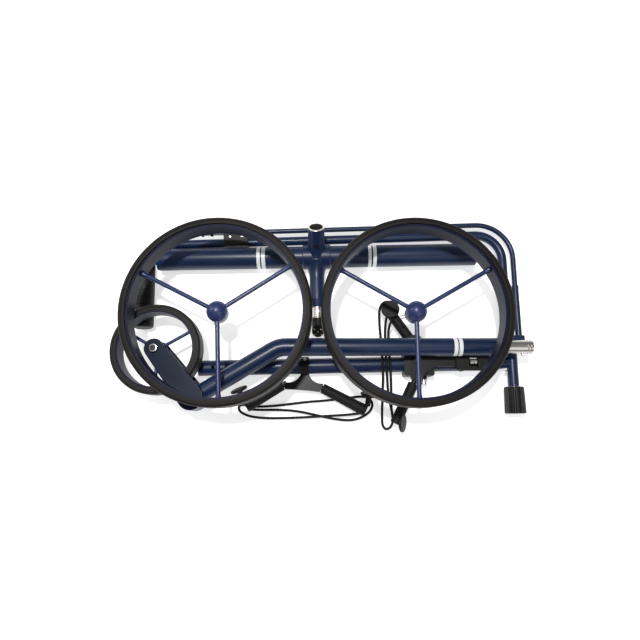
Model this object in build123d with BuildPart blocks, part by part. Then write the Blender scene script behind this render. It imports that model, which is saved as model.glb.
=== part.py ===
"""Golf trolley with an axle drive, taken apart and packed flat: handle frame and spine below,
axle and front arm over them, both big wheels on top.

Frame: X along the pack, +Z up, origin on the ground under the middle of the pack. Millimetres.
"""
from build123d import *
import os
from math import atan2, cos, degrees, hypot, pi, radians, sin, tan

os.makedirs("parts", exist_ok=True)

FROM_BASE = (Align.CENTER, Align.CENTER, Align.MIN)

# ---------------------------------------------------------------- driving dimensions
pack_length = 734.0
pack_width = 393.0
running_fit = 0.05
gap = 0.3

# big wheels
wheel_r = 160.5
wheel_width = 45.0
tyre_depth = 11.5
tyre_rounding = 5.0
side_groove_inset = 6.0
side_groove_width = 1.3
side_groove_depth = 1.2
rim_wall = 3.5
rim_lip = 1.0
rim_inset = 4.0
spoke_r = 3.9
spoke_count = 3
spoke_boss_r = 5.6
spoke_boss_length = 7.0
hub_ball_r = 18.0
hub_skirt_r = 17.0
hub_skirt_drop = 14.0
core_r = 12.0
core_flange_r = 16.5
left_wheel_x = wheel_r - 337.7
right_wheel_x = 318.7 - wheel_r
wheels_y = 3.3
left_spoke_angle = 33.0
right_spoke_angle = 30.0
left_prong_angle = 253.0
right_prong_angle = 195.0
prong_r = 1.1
prong_spacing = 4.6
prong_reach = 8.5
release_travel = 2.0

# front wheel and fork
front_r = 78.5
front_width = 35.0
front_tyre_depth = 11.0
front_rim_wall = 3.0
front_spoke_r = 3.0
front_spoke_angle = 30.0
front_hub_r = 9.0
front_axle_r = 4.0
front_y = -55.0
blade_hub_r = 16.8
blade_thickness = 4.5
blade_clearance = 1.2
knuckle_r = 22.0
knuckle_x = -222.0
knuckle_y = -138.0

# front arm
arm_r = 15.8
arm_wall = 1.8
arm_y = -49.8
arm_bend_x = -76.0
arm_bend_r = 42.0
arm_end_x = 318.0
spigot_r = 12.0
spigot_wall = 2.0
spigot_seat = 28.0
spigot_button_x = 350.0
button_r = 3.0
button_travel = 3.0

# handle frame
handle_tube_r = 8.3
bow_tube_r = 4.8
tube_wall = 1.4
twin_spacing = 20.8
handle_slope = 1.85
handle_x = 340.0
handle_bend_r = 48.0
bow_bend_r = 66.0
grip_bend_r = 36.5
grip_x = -334.5
grip_r = 18.5
grip_length = 81.0
dial_length = 41.5
knob_r = 18.5
knob_neck_r = 17.2
knob_length = 47.5
knob_flutes = 10
knob_flute_r = 2.6
bow_start_x = -265.0
bow_sleeve_r = 5.9
bow_sleeve_top = 72.0
bow_sleeve_overlap = 36.0
holder_start_x = -186.0
holder_length = 47.0
yoke_top_y = -26.0
yoke_bottom_y = -50.0

# spine
hinge_x = 345.0
hinge_shaft_r = 6.0
cross_tube_r = 9.6
cross_tube_bottom_y = -114.6
spine_r = 14.0
spine_bore_r = 12.1
spine_slope = 1.1
spine_hinge_y = -71.9
spine_length = 568.0
knuckle_length = 57.0
spine_hole_r = 3.2
spine_hole_inset = 27.0
contact_depth = 62.0
contact_length = 18.0
contact_spacing = 6.0
contact_socket_r = 11.8
contact_hole_r = 1.6
lock_pin_r = 2.0
lock_pin_y = -89.4

# cradles
sleeve_root_r = 9.0
sleeve_tip_r = 10.5
cradle_rod_r = 5.0
disc_r = 15.5
disc_thickness = 5.0
cord_r = 2.3
lower_cradle_x = -31.0
ring_r = 17.5
ring_width = 14.0
upper_sleeve_r = 9.5
upper_rod_z = 31.0

# axle
axle_r = 20.5
axle_wall = 2.0
axle_length = 591.0
axle_x = -10.4
axle_y = pack_width / 2 - 49.6 - axle_r
axle_slope = 1.04
stub_r = 6.0
stub_reach = 12.0
dog_collar_r = 11.5
tee_r = axle_r + 2.5
tee_half_length = 26.0
leg_r = 14.0
leg_tip_r = 11.0
leg_reach = 97.0
neck_r = 8.0
neck_reach = 118.0
plug_r = 11.0
plug_reach = 151.0
plug_face_angle = 40.0
socket_tilt = 50.0
socket_reach = 62.0
socket_r = 15.2
socket_wall = 1.5
socket_depth = 36.0
socket_button_r = 3.6
socket_button_at = 35.0
socket_button_seat = 13.9
socket_button_travel = 1.0
socket_button_length = 3.3
socket_boss_r = 6.0
socket_boss_top = 17.4
motor_r = 17.5
motor_length = 130.0

# ---------------------------------------------------------------- levels, worked out
frame_z = grip_r
axle_z = tee_r
arm_z = 59.0
wheel_z = 84.0 + wheel_width / 2
half_length = pack_length / 2
front_x = front_r - half_length
spigot_end_x = half_length
slope_tan = tan(radians(handle_slope))
bow_corner_y = pack_width / 2 - bow_tube_r + bow_bend_r * slope_tan
bow_x = handle_x + twin_spacing
handle_corner_y = bow_corner_y - twin_spacing * (1 / cos(radians(handle_slope)) + slope_tan)
cross_tube_top_y = yoke_bottom_y - gap


def axis_plane(start, end):
    """A plane at start whose normal points to end."""
    return Plane(origin=start, z_dir=Vector(*end) - Vector(*start))


def turned(plane_origin, angle):
    """A level plane turned about the upright."""
    return Plane(origin=plane_origin, x_dir=(cos(radians(angle)), sin(radians(angle)), 0), z_dir=(0, 0, 1))


def save(builder, name):
    """Label a finished piece and write it."""
    builder.part.label = name
    export_step(builder.part, f"parts/{name}.step")


def cord_radii(points):
    """The largest arc that each corner of a cord's route leaves room for."""
    radii = []
    for before, corner, after in zip(points, points[1:], points[2:]):
        first = Vector(*corner) - Vector(*before)
        second = Vector(*after) - Vector(*corner)
        turn = radians(first.get_angle(second))
        radii.append(0.45 * min(first.length, second.length) / tan(turn / 2))
    return radii


# ---------------------------------------------------------------- handle frame
handle_along = Vector(cos(radians(handle_slope)), sin(radians(handle_slope)), 0)
handle_across = Vector(sin(radians(handle_slope)), -cos(radians(handle_slope)), 0)
handle_corner = Vector(handle_x, handle_corner_y, frame_z)
grip_corner = handle_corner - handle_along * ((handle_x - grip_x) / cos(radians(handle_slope)))
grip_start = grip_corner + handle_across * grip_bend_r
dial_start = grip_start + handle_across * (grip_length + gap)
bow_corner = Vector(bow_x, bow_corner_y, frame_z)


def on_bow(x):
    """The point of the bow's long run at this x."""
    return bow_corner - handle_along * ((bow_x - x) / cos(radians(handle_slope)))


def on_handle(x):
    """The point of the handle tube's long run at this x."""
    return handle_corner - handle_along * ((handle_x - x) / cos(radians(handle_slope)))


with BuildPart() as handle_tube:
    with BuildLine() as handle_path:
        FilletPolyline(
            grip_start + handle_across * grip_length,
            grip_corner,
            handle_corner,
            (handle_x, yoke_top_y, frame_z),
            radius=[grip_bend_r, handle_bend_r],
        )
    with BuildSketch(Plane(origin=handle_path.line @ 0, z_dir=handle_path.line % 0)):
        Circle(handle_tube_r)
        Circle(handle_tube_r - tube_wall, mode=Mode.SUBTRACT)
    sweep()
save(handle_tube, "handle_tube")

with BuildPart() as bow_tube:
    with BuildLine() as bow_path:
        FilletPolyline(
            on_bow(bow_start_x),
            bow_corner,
            (bow_x, bow_sleeve_top - bow_sleeve_overlap, frame_z),
            radius=bow_bend_r,
        )
    with BuildSketch(Plane(origin=bow_path.line @ 0, z_dir=bow_path.line % 0)):
        Circle(bow_tube_r)
        Circle(bow_tube_r - tube_wall, mode=Mode.SUBTRACT)
    sweep()
save(bow_tube, "bow_tube")

grip_plane = Plane(origin=grip_start, z_dir=handle_across)
grip_groove = 0.9
with BuildPart(grip_plane) as grip_rubber:
    Cylinder(grip_r, grip_length, align=FROM_BASE)
    fillet(grip_rubber.edges().filter_by(GeomType.CIRCLE), 1.5)
    Cylinder(handle_tube_r, grip_length, align=FROM_BASE, mode=Mode.SUBTRACT)
    for ring in range(5):
        with Locations((0, 0, grip_length - 34.0 + ring * 6.5)):
            Torus(grip_r + 0.2, grip_groove, mode=Mode.SUBTRACT)
save(grip_rubber, "grip_rubber")

with BuildPart(Plane(origin=dial_start, z_dir=handle_across)) as speed_dial:
    Cylinder(grip_r, dial_length, align=FROM_BASE)
    fillet(speed_dial.edges().group_by(Axis(dial_start, handle_across))[-1], 5.0)
    with PolarLocations(grip_r + 0.6, 16):
        Cylinder(1.4, dial_length - 12.0, align=FROM_BASE, mode=Mode.SUBTRACT)
save(speed_dial, "speed_dial")

block_length = 8.0
block_half_height = 6.0
block_reach = twin_spacing + bow_tube_r + 1.0
with BuildPart(turned(on_handle(bow_start_x), handle_slope)) as bow_end_block:
    with BuildSketch(turned(on_handle(bow_start_x) - Vector(0, 0, block_half_height), handle_slope)):
        with Locations((-block_length / 2, block_reach / 2)):
            RectangleRounded(block_length, block_reach, 2.0)
    extrude(amount=2 * block_half_height)
    Cylinder(
        handle_tube_r,
        4 * block_length,
        rotation=(0, 90, 0),
        mode=Mode.SUBTRACT,
    )
save(bow_end_block, "bow_end_block")

holder_height = 21.0
holder_depth = twin_spacing + 16.0
holder_origin = on_handle(holder_start_x)
with BuildPart(turned(holder_origin, handle_slope)) as tube_holder:
    with BuildSketch(turned(holder_origin - Vector(0, 0, holder_height / 2), handle_slope)):
        with Locations((holder_length / 2, twin_spacing / 2 - 0.4)):
            RectangleRounded(holder_length, holder_depth, 4.0)
    extrude(amount=holder_height)
    chamfer(tube_holder.faces().filter_by(Axis.Z).edges(), 1.5)
    with Locations((holder_length / 2, 0, 0)):
        Cylinder(handle_tube_r, 2 * holder_length, rotation=(0, 90, 0), mode=Mode.SUBTRACT)
    with Locations((holder_length / 2, twin_spacing, 0)):
        Cylinder(bow_tube_r, 2 * holder_length, rotation=(0, 90, 0), mode=Mode.SUBTRACT)
    for screw_x in (12.0, holder_length - 12.0):
        with Locations((screw_x, twin_spacing / 2, holder_height / 2)):
            Cylinder(2.6, 4.0, mode=Mode.SUBTRACT)
save(tube_holder, "tube_holder")

sleeve_ring_r = bow_sleeve_r + 0.3
sleeve_ring_length = 6.0
bow_sleeve_plane = axis_plane((bow_x, bow_sleeve_top, frame_z), (bow_x, yoke_top_y, frame_z))
with BuildPart(bow_sleeve_plane) as bow_sleeve:
    Cylinder(bow_sleeve_r, bow_sleeve_top - yoke_top_y, align=FROM_BASE)
    Cylinder(sleeve_ring_r, sleeve_ring_length, align=FROM_BASE)
    fillet(bow_sleeve.edges().group_by(Axis.Y)[-1], 0.8)
    Cylinder(bow_tube_r, bow_sleeve_overlap, align=FROM_BASE, mode=Mode.SUBTRACT)
save(bow_sleeve, "bow_sleeve")

yoke_left_x = handle_x - handle_tube_r - 2.5
yoke_right_x = bow_x + 0.9
yoke_bottom_z = frame_z - 12.5
yoke_top_z = arm_z - spigot_r - 0.5
with BuildPart() as hinge_yoke:
    with BuildSketch(Plane.XY.offset(yoke_bottom_z)):
        with Locations(((yoke_left_x + yoke_right_x) / 2, (yoke_top_y + yoke_bottom_y) / 2)):
            RectangleRounded(yoke_right_x - yoke_left_x, yoke_top_y - yoke_bottom_y, 3.0)
    extrude(amount=yoke_top_z - yoke_bottom_z)
    fillet(hinge_yoke.faces().sort_by(Axis.Z)[-1].edges(), 2.5)
save(hinge_yoke, "hinge_yoke")

knob_start_y = cross_tube_bottom_y - 1.5
shaft_end_y = knob_start_y - knob_length + 10.0
hinge_shaft_plane = axis_plane((hinge_x, yoke_bottom_y, frame_z), (hinge_x, shaft_end_y, frame_z))
with BuildPart(hinge_shaft_plane) as hinge_shaft:
    Cylinder(hinge_shaft_r, yoke_bottom_y - shaft_end_y, align=FROM_BASE)
    chamfer(hinge_shaft.edges().group_by(Axis.Y)[0], 0.8)
save(hinge_shaft, "hinge_shaft")

knob_plane = Plane(origin=(hinge_x, knob_start_y, frame_z), x_dir=(0, 0, -1), z_dir=(0, -1, 0))
with BuildPart(knob_plane) as clamp_knob:
    Cone(knob_neck_r, knob_r, knob_length, align=FROM_BASE)
    fillet(clamp_knob.edges().filter_by(GeomType.CIRCLE), 2.0)
    with PolarLocations(knob_r + 0.4, knob_flutes, start_angle=180 / knob_flutes):
        Cylinder(knob_flute_r, 2 * knob_length, mode=Mode.SUBTRACT)
    Cylinder(
        hinge_shaft_r + running_fit,
        knob_start_y - shaft_end_y + gap,
        align=FROM_BASE,
        mode=Mode.SUBTRACT,
    )
save(clamp_knob, "clamp_knob")

# ---------------------------------------------------------------- spine
spine_along = Vector(cos(radians(spine_slope)), sin(radians(spine_slope)), 0)
spine_hinge = Vector(hinge_x, spine_hinge_y, frame_z)
spine_joint = spine_hinge - spine_along * knuckle_length
spine_end = spine_hinge - spine_along * spine_length


def on_spine(x):
    """The point of the spine's centre line at this x."""
    return spine_hinge - spine_along * ((hinge_x - x) / cos(radians(spine_slope)))


with BuildPart(axis_plane(spine_end, spine_joint)) as spine_tube:
    Cylinder(spine_r, spine_length - knuckle_length, align=FROM_BASE)
    Cylinder(spine_bore_r, contact_depth, align=FROM_BASE, mode=Mode.SUBTRACT)
    Cylinder(
        contact_socket_r,
        spine_length - knuckle_length,
        align=FROM_BASE,
        mode=Mode.SUBTRACT,
    )
    hole_place = spine_end + spine_along * spine_hole_inset
    with BuildSketch(Plane(origin=hole_place, z_dir=(0, 0, 1))):
        Circle(spine_hole_r)
    extrude(amount=2 * spine_r, mode=Mode.SUBTRACT)
save(spine_tube, "spine_tube")

cross_length = cross_tube_top_y - cross_tube_bottom_y
cross_plane = axis_plane((hinge_x, cross_tube_top_y, frame_z), (hinge_x, cross_tube_bottom_y, frame_z))
with BuildPart(cross_plane) as spine_knuckle:
    Cylinder(cross_tube_r, cross_length, align=FROM_BASE)
    with BuildSketch(axis_plane(spine_joint, spine_hinge)):
        Circle(spine_r)
    with BuildSketch(axis_plane((spine_joint + spine_along * 20), spine_hinge)):
        Circle(spine_r - 0.8)
    with BuildSketch(axis_plane((spine_hinge - spine_along * 4), (spine_hinge + spine_along * 9))):
        Circle(cross_tube_r - 0.6)
    loft()
    Cylinder(
        hinge_shaft_r + running_fit,
        cross_length,
        align=FROM_BASE,
        mode=Mode.SUBTRACT,
    )
    with BuildSketch(Plane(origin=(hinge_x - 2 * cross_tube_r, lock_pin_y, frame_z), z_dir=(1, 0, 0))):
        Circle(lock_pin_r + running_fit)
    extrude(amount=2 * cross_tube_r, mode=Mode.SUBTRACT)
save(spine_knuckle, "spine_knuckle")

lock_pin_stand = 4.0
pin_start = hinge_x - cross_tube_r - lock_pin_stand
pin_end = hinge_x - hinge_shaft_r - 0.6
with BuildPart(Plane(origin=(pin_start, lock_pin_y, frame_z), z_dir=(1, 0, 0))) as lock_pin:
    Cylinder(lock_pin_r, pin_end - pin_start, align=FROM_BASE)
    Cylinder(lock_pin_r + 0.9, lock_pin_stand - 0.8, align=FROM_BASE)
save(lock_pin, "lock_pin")

with BuildPart(axis_plane((spine_end + spine_along * contact_depth), spine_joint)) as spine_contact_socket:
    Cylinder(contact_socket_r, contact_length, align=FROM_BASE)
    with GridLocations(2 * contact_spacing, 2 * contact_spacing, 2, 2):
        Cylinder(contact_hole_r, contact_length, mode=Mode.SUBTRACT)
    Cylinder(contact_hole_r, contact_length, mode=Mode.SUBTRACT)
save(spine_contact_socket, "spine_contact_socket")

# ---------------------------------------------------------------- lower cradle
lower_ring_at = on_spine(lower_cradle_x)
lower_left_root = (-70.7, -113.0)
lower_left_tip = (-136.0, -152.0)
lower_right_root = (-0.6, -118.0)
lower_right_tip = (78.0, -159.0)
lower_arch_y = -127.0
stem_half = 6.7
stem_end_y = -103.5
stem_thickness = 11.0
arm_half = 6.5
sleeve_inset = 1.0


def toward(start, end, distance):
    """The point this far from start, towards end."""
    length = hypot(end[0] - start[0], end[1] - start[1])
    return (
        start[0] + (end[0] - start[0]) * distance / length,
        start[1] + (end[1] - start[1]) * distance / length,
    )


lower_ring_plane = axis_plane(lower_ring_at - spine_along * ring_width / 2, lower_ring_at)
with BuildPart(lower_ring_plane) as lower_cradle_frame:
    Cylinder(ring_r, ring_width, align=FROM_BASE)
    with BuildSketch(Plane.XY.offset(frame_z - stem_thickness / 2)):
        with BuildLine():
            left_top = (lower_left_root[0] - 3, lower_left_root[1] + arm_half + 1)
            left_low = (lower_left_root[0] + 4, lower_left_root[1] - arm_half - 1)
            right_top = (lower_right_root[0] + 3, lower_right_root[1] + arm_half + 1)
            right_low = (lower_right_root[0] - 4, lower_right_root[1] - arm_half - 1)
            stem_top_y = lower_ring_at.Y - spine_r
            Line((lower_cradle_x - stem_half, stem_top_y), (lower_cradle_x - stem_half, stem_end_y + 12))
            ThreePointArc(
                (lower_cradle_x - stem_half, stem_end_y + 12),
                (lower_cradle_x - stem_half - 9, stem_end_y - 0.5),
                left_top,
            )
            Line(left_top, left_low)
            ThreePointArc(left_low, (lower_cradle_x, lower_arch_y + 4.5), right_low)
            Line(right_low, right_top)
            ThreePointArc(
                right_top,
                (lower_cradle_x + stem_half + 9, stem_end_y - 2.5),
                (lower_cradle_x + stem_half, stem_end_y + 12),
            )
            Line((lower_cradle_x + stem_half, stem_end_y + 12), (lower_cradle_x + stem_half, stem_top_y))
            Line((lower_cradle_x + stem_half, stem_top_y), (lower_cradle_x - stem_half, stem_top_y))
        make_face()
    extrude(amount=stem_thickness)
    for root, tip in ((lower_left_root, lower_left_tip), (lower_right_root, lower_right_tip)):
        rod_end = toward(tip, root, 4.0)
        with BuildSketch(axis_plane((*toward(root, tip, -8.0), frame_z), (*tip, frame_z))):
            Circle(cradle_rod_r)
        extrude(amount=hypot(rod_end[0] - root[0], rod_end[1] - root[1]) + 8.0)
    with BuildSketch(axis_plane((lower_ring_at - spine_along * ring_width), lower_ring_at)):
        Circle(spine_r + running_fit)
    extrude(amount=2 * ring_width, mode=Mode.SUBTRACT)
save(lower_cradle_frame, "lower_cradle_frame")

with BuildPart() as lower_cradle_sleeves:
    for root, tip in ((lower_left_root, lower_left_tip), (lower_right_root, lower_right_tip)):
        start = toward(root, tip, sleeve_inset)
        length = hypot(tip[0] - start[0], tip[1] - start[1])
        with BuildSketch(axis_plane((*start, frame_z), (*tip, frame_z))):
            Circle(sleeve_root_r)
        with BuildSketch(axis_plane((*tip, frame_z), (*toward(tip, root, -length), frame_z))):
            Circle(sleeve_tip_r)
        loft()
        sleeve_rims = lower_cradle_sleeves.edges().filter_by(GeomType.CIRCLE)
        fillet(sleeve_rims.sort_by_distance((*tip, frame_z))[0], 3.0)
    for root, tip in ((lower_left_root, lower_left_tip), (lower_right_root, lower_right_tip)):
        rod_end = toward(tip, root, 4.0)
        with BuildSketch(axis_plane((*root, frame_z), (*tip, frame_z))):
            Circle(cradle_rod_r)
        extrude(amount=hypot(rod_end[0] - root[0], rod_end[1] - root[1]), mode=Mode.SUBTRACT)
save(lower_cradle_sleeves, "lower_cradle_sleeves")

peg_r = 5.0
disc_lift = 11.0
lower_discs = (
    ((-139.0, -144.0, frame_z + 5), (-147.0, -124.5, frame_z + disc_lift)),
    ((80.5, -150.0, frame_z + 5), (83.0, -133.0, frame_z + disc_lift)),
)
with BuildPart() as lower_cradle_caps:
    for foot, head in lower_discs:
        reach = (Vector(*head) - Vector(*foot)).length
        with BuildSketch(axis_plane(foot, head)):
            Circle(peg_r)
        extrude(amount=reach)
        with BuildSketch(axis_plane(head, Vector(*head) * 2 - Vector(*foot))):
            Circle(disc_r)
        extrude(amount=disc_thickness)
    disc_edges = lower_cradle_caps.edges().filter_by(GeomType.CIRCLE)
    fillet(disc_edges.filter_by(lambda edge: edge.radius > disc_r - 1), 2.2)
    add(lower_cradle_sleeves.part, mode=Mode.SUBTRACT)
    add(lower_cradle_frame.part, mode=Mode.SUBTRACT)
save(lower_cradle_caps, "lower_cradle_caps")

screw_r = 2.4
screw_at = (lower_cradle_x, lower_ring_at.Y + 9.0, frame_z + 13.5)
with BuildPart() as lower_cradle_screw:
    with Locations(Plane(origin=screw_at, z_dir=(0, 0.5, 0.85))):
        Cylinder(screw_r, 4.4, align=FROM_BASE)
    fillet(lower_cradle_screw.edges().group_by(Axis.Z)[-1], 1.0)
    add(lower_cradle_frame.part, mode=Mode.SUBTRACT)
save(lower_cradle_screw, "lower_cradle_screw")

# ---------------------------------------------------------------- upper cradle
hub_plate_bottom = frame_z + spine_r + 1.2
hub_plate_thickness = 6.6
upper_hub = (171.0, -73.5)
upper_root = (185.0, -70.0)
upper_tip = (124.0, 18.0)
lower_root = (166.5, -103.0)
lower_tip = (128.0, -181.0)
bar_start_x = 186.0
block_start_x = 236.0
block_end_x = 298.0
bar_y = -72.5
bar_width = 18.0
upper_sleeve_start = 44.0
lower_sleeve_start = 10.0
plate_half = 11.0
rail_slot_length = 58.0
rail_slot_width = 6.4
rail_slot_depth = 3.0

with BuildPart() as upper_cradle_frame:
    with BuildSketch(Plane.XY.offset(hub_plate_bottom)):
        with BuildLine():
            Polyline(
                (lower_root[0] - plate_half, lower_root[1] - 2),
                (lower_root[0] - plate_half + 3, bar_y - 18),
                (upper_hub[0] - plate_half + 4, bar_y + 6),
                (upper_root[0] - plate_half - 22, bar_y + 44),
                (upper_root[0] - plate_half - 2, bar_y + 50),
                (upper_root[0] + plate_half + 4, bar_y + 14),
                (bar_start_x + 16, bar_y + bar_width / 2),
                (block_start_x + 6, bar_y + bar_width / 2),
                (block_start_x + 6, bar_y - bar_width / 2),
                (bar_start_x + 14, bar_y - bar_width / 2),
                (lower_root[0] + plate_half + 3, bar_y - 24),
                (lower_root[0] + plate_half, lower_root[1] - 2),
                close=True,
            )
        make_face()
        fillet(vertices(), 4.0)
    extrude(amount=hub_plate_thickness)
    with Locations((bar_start_x + 20, bar_y, hub_plate_bottom + hub_plate_thickness)):
        Box(rail_slot_length, rail_slot_width, 2 * rail_slot_depth, mode=Mode.SUBTRACT)
    for root, tip in ((upper_root, upper_tip), (lower_root, lower_tip)):
        rod_end = toward(tip, root, 4.0)
        with BuildSketch(axis_plane((*toward(root, tip, -6.0), upper_rod_z), (*tip, upper_rod_z))):
            Circle(cradle_rod_r)
        extrude(amount=hypot(rod_end[0] - root[0], rod_end[1] - root[1]) + 6.0)
    with BuildSketch(axis_plane(spine_end, spine_joint)):
        Circle(spine_r + gap)
    extrude(amount=spine_length - knuckle_length, mode=Mode.SUBTRACT)
save(upper_cradle_frame, "upper_cradle_frame")

with BuildPart() as upper_cradle_sleeves:
    for root, tip, inset in (
        (upper_root, upper_tip, upper_sleeve_start),
        (lower_root, lower_tip, lower_sleeve_start),
    ):
        start = toward(root, tip, inset)
        length = hypot(tip[0] - start[0], tip[1] - start[1])
        with BuildSketch(axis_plane((*start, upper_rod_z), (*tip, upper_rod_z))):
            Circle(upper_sleeve_r)
            Circle(cradle_rod_r, mode=Mode.SUBTRACT)
        extrude(amount=length - 4.0)
        closed_end = (*toward(tip, root, 4.0), upper_rod_z)
        with BuildSketch(axis_plane(closed_end, (*tip, upper_rod_z))):
            Circle(upper_sleeve_r)
        extrude(amount=4.0)
        outer = upper_cradle_sleeves.edges().filter_by(GeomType.CIRCLE)
        fillet(outer.sort_by_distance((*tip, upper_rod_z))[0], 3.0)
    add(upper_cradle_frame.part, mode=Mode.SUBTRACT)
save(upper_cradle_sleeves, "upper_cradle_sleeves")

upper_disc_r = 16.5
upper_discs = (
    ((123.0, 19.5, upper_rod_z + 7.0), (122.6, 20.2, upper_rod_z + 14.2)),
    ((137.5, -179.7, upper_rod_z - 1.1), (138.5, -179.8, upper_rod_z - 0.6)),
)
with BuildPart() as upper_cradle_caps:
    for foot, head in upper_discs:
        reach = (Vector(*head) - Vector(*foot)).length
        with BuildSketch(axis_plane(foot, head)):
            Circle(peg_r)
        extrude(amount=reach)
        with BuildSketch(axis_plane(head, Vector(*head) * 2 - Vector(*foot))):
            Circle(upper_disc_r)
        extrude(amount=disc_thickness)
    disc_edges = upper_cradle_caps.edges().filter_by(GeomType.CIRCLE)
    fillet(disc_edges.filter_by(lambda edge: edge.radius > upper_disc_r - 1), 2.2)
    add(upper_cradle_sleeves.part, mode=Mode.SUBTRACT)
    add(upper_cradle_frame.part, mode=Mode.SUBTRACT)
save(upper_cradle_caps, "upper_cradle_caps")

jaw_start_x = 146.5
jaw_length = 53.8
jaw_bottom_z = 1.5
jaw_front_y = -97.5
jaw_back_y = -52.0
with BuildPart() as upper_clamp_jaw:
    with BuildSketch(Plane.XY.offset(jaw_bottom_z)):
        with Locations((jaw_start_x + jaw_length / 2, (jaw_front_y + jaw_back_y) / 2)):
            RectangleRounded(jaw_length, jaw_back_y - jaw_front_y, 3.5)
    extrude(amount=hub_plate_bottom - jaw_bottom_z)
    with Locations((lower_root[0] + 16.5, jaw_front_y, frame_z)):
        Cylinder(6.0, 12.0, rotation=(90, 0, 0))
    with BuildSketch(axis_plane(spine_end, spine_joint)):
        Circle(spine_r + running_fit)
    extrude(amount=spine_length - knuckle_length, mode=Mode.SUBTRACT)
    for root, tip in ((upper_root, upper_tip), (lower_root, lower_tip)):
        with BuildSketch(axis_plane((*toward(root, tip, -6.0), upper_rod_z), (*tip, upper_rod_z))):
            Circle(cradle_rod_r)
        extrude(amount=60.0, mode=Mode.SUBTRACT)
    lower_sleeve_at = (*toward(lower_root, lower_tip, lower_sleeve_start), upper_rod_z)
    with BuildSketch(axis_plane(lower_sleeve_at, (*lower_tip, upper_rod_z))):
        Circle(upper_sleeve_r + gap)
    extrude(amount=30.0, mode=Mode.SUBTRACT)
save(upper_clamp_jaw, "upper_clamp_jaw")

bolt_x = lower_root[0] + 16.5
with BuildPart(Plane(origin=(bolt_x, jaw_front_y - 6.0, frame_z), z_dir=(0, -1, 0))) as clamp_bolt:
    Cylinder(6.4, 9.5, align=FROM_BASE)
    chamfer(clamp_bolt.edges().group_by(Axis.Y)[0], 1.0)
    with PolarLocations(6.8, 12):
        Cylinder(0.8, 30.0, mode=Mode.SUBTRACT)
save(clamp_bolt, "clamp_bolt")

block_bottom = hub_plate_bottom + hub_plate_thickness
pocket_start_x = 259.6
pocket_end_x = 275.4
block_front_y = -89.0
block_back_y = -62.0
block_floor = frame_z + spine_r + gap
nut_r = 6.3
nut_length = 12.5
nut_x = pocket_start_x + 1.4
nut_y = -73.0
nut_z = block_floor + 2.2 + nut_r
nut_bolt_r = 2.5
block_height = 12.0
boss_r = 5.6
boss_hole_r = 2.2
with BuildPart() as pivot_block:
    with BuildSketch(Plane.XY.offset(block_floor)):
        with Locations(((block_start_x + block_end_x) / 2, (block_front_y + block_back_y) / 2)):
            RectangleRounded(block_end_x - block_start_x, block_back_y - block_front_y, 4.0)
    extrude(amount=block_height)
    chamfer(pivot_block.faces().sort_by(Axis.Z)[-1].edges(), 1.5)
    with BuildSketch(Plane.XY.offset(block_floor + 2.0)):
        with Locations(((pocket_start_x + pocket_end_x) / 2, (block_front_y + block_back_y) / 2 + 3.0)):
            Rectangle(pocket_end_x - pocket_start_x, block_back_y - block_front_y)
    extrude(amount=20.0, mode=Mode.SUBTRACT)
    with BuildSketch(Plane.XY.offset(hub_plate_bottom)):
        with Locations((bar_start_x + 28, bar_y)):
            Rectangle(56, bar_width)
    extrude(amount=hub_plate_thickness, mode=Mode.SUBTRACT)
    with BuildSketch(Plane(origin=(pocket_start_x - 14.0, nut_y, nut_z), z_dir=(1, 0, 0))):
        Circle(nut_bolt_r)
    extrude(amount=pocket_end_x - pocket_start_x + 18.0)
    with BuildSketch(Plane.XY.offset(block_floor)):
        with Locations((block_start_x + 10.4, block_front_y + 4.0)):
            Circle(boss_r)
    extrude(amount=block_height + 1.4)
    with BuildSketch(Plane.XY.offset(block_floor + block_height)):
        with Locations((block_start_x + 10.4, block_front_y + 4.0)):
            Circle(boss_hole_r)
    extrude(amount=1.4, mode=Mode.SUBTRACT)
save(pivot_block, "pivot_block")

with BuildPart(Plane(origin=(nut_x, nut_y, nut_z), z_dir=(1, 0, 0))) as thumb_nut:
    Cylinder(nut_r, nut_length, align=FROM_BASE)
    chamfer(thumb_nut.edges(), 0.6)
    with Locations((0, 0, nut_length * 0.6)):
        Torus(nut_r + 0.1, 0.9, mode=Mode.SUBTRACT)
    Cylinder(
        nut_bolt_r + running_fit,
        nut_length,
        align=FROM_BASE,
        mode=Mode.SUBTRACT,
    )
save(thumb_nut, "thumb_nut")

# ---------------------------------------------------------------- axle, T-piece and contact plug
axle_plane = turned((axle_x, axle_y, axle_z), axle_slope)


def axle_point(along, across, up=0.0):
    """A point in the axle's own frame: along the tube, across it and up."""
    return axle_plane.from_local_coords(Vector(along, across, up))


half_axle = axle_length / 2
axle_start = axle_point(-half_axle, 0)
axle_stop = axle_point(half_axle, 0)
axle_line = Plane(origin=axle_start, z_dir=axle_stop - axle_start)

with BuildPart(axle_line) as axle_tube:
    Cylinder(axle_r, axle_length, align=FROM_BASE)
    Cylinder(axle_r - axle_wall, axle_length, align=FROM_BASE, mode=Mode.SUBTRACT)
save(axle_tube, "axle_tube")

socket_plane = Plane(
    origin=axle_point(0, 0),
    x_dir=axle_plane.x_dir,
    z_dir=axle_plane.y_dir * cos(radians(socket_tilt)) + axle_plane.z_dir * sin(radians(socket_tilt)),
)
leg_plane = Plane(origin=axle_point(0, 0), x_dir=axle_plane.x_dir, z_dir=axle_plane.y_dir * -1)
button_plane = Plane(
    origin=socket_plane.origin + socket_plane.z_dir * socket_button_at,
    x_dir=axle_plane.x_dir,
    z_dir=axle_plane.y_dir * -sin(radians(socket_tilt)) + axle_plane.z_dir * cos(radians(socket_tilt)),
)

socket_floor = Plane(
    origin=socket_plane.origin + socket_plane.z_dir * (socket_reach - socket_depth),
    z_dir=socket_plane.z_dir,
)

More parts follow.
